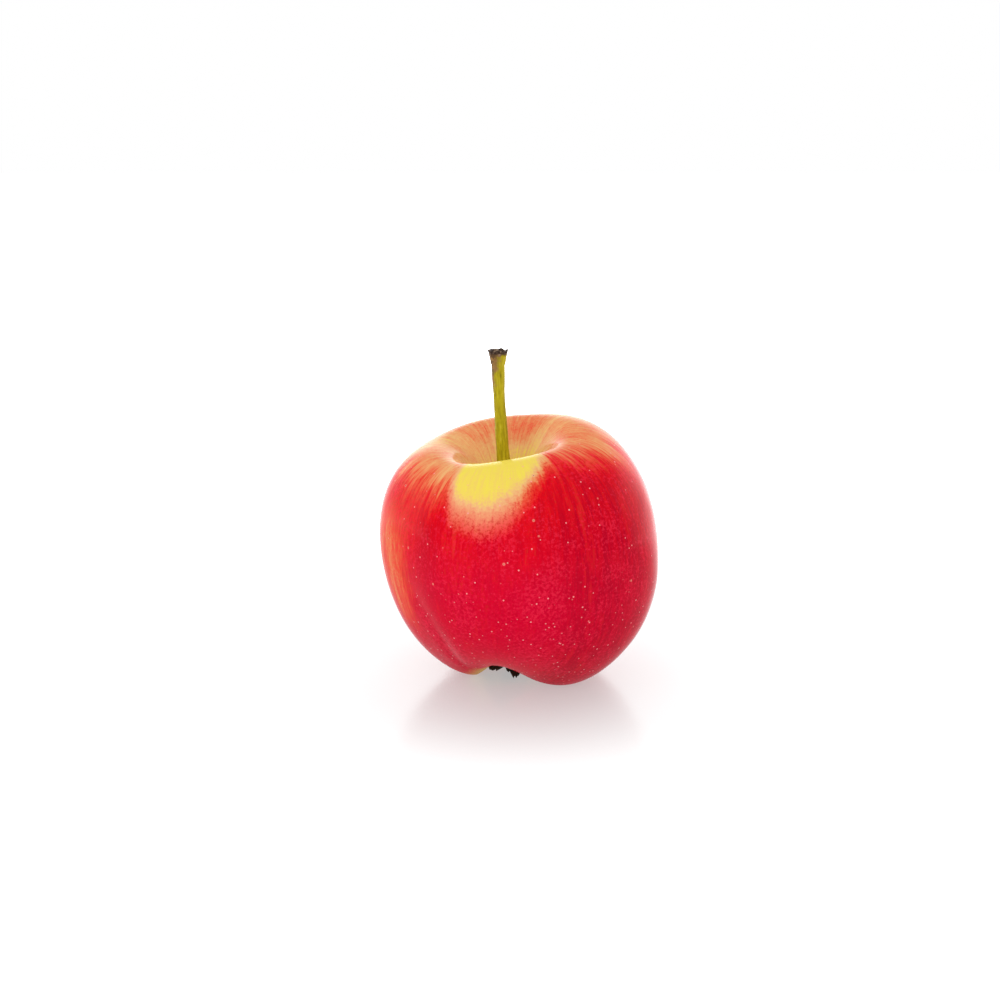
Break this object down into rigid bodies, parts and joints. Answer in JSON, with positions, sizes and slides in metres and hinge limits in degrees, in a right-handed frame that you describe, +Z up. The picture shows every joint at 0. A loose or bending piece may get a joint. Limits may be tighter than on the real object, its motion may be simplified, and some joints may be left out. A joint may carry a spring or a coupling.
{
  "type": "apple",
  "caption": "Whole fresh eating apple with a deep stem cavity, a long woody stem and the dried flower in its eye.",
  "frame": {"origin": "on the surface the apple stands on, under the middle of the fruit's box", "axes": "+Z up along the core and the stem, -Y towards the front, which has the yellow patch and the notch over the eye"},
  "size_m": [0.0702, 0.07, 0.0838],
  "materials": {
    "skin": "waxy gloss, deep red with a yellow patch by the stem",
    "stem": "satin, green woody stalk with a brown torn knob",
    "sepal": "matt, dried leaf",
    "stamens": "matt, dried flower"
  },
  "bodies": {
    "root": {"fruit": "skin", "stem": "stem", "sepal_1": "sepal", "sepal_2": "sepal", "sepal_3": "sepal", "sepal_4": "sepal", "sepal_5": "sepal", "stamens": "stamens"}
  },
  "joints": []
}
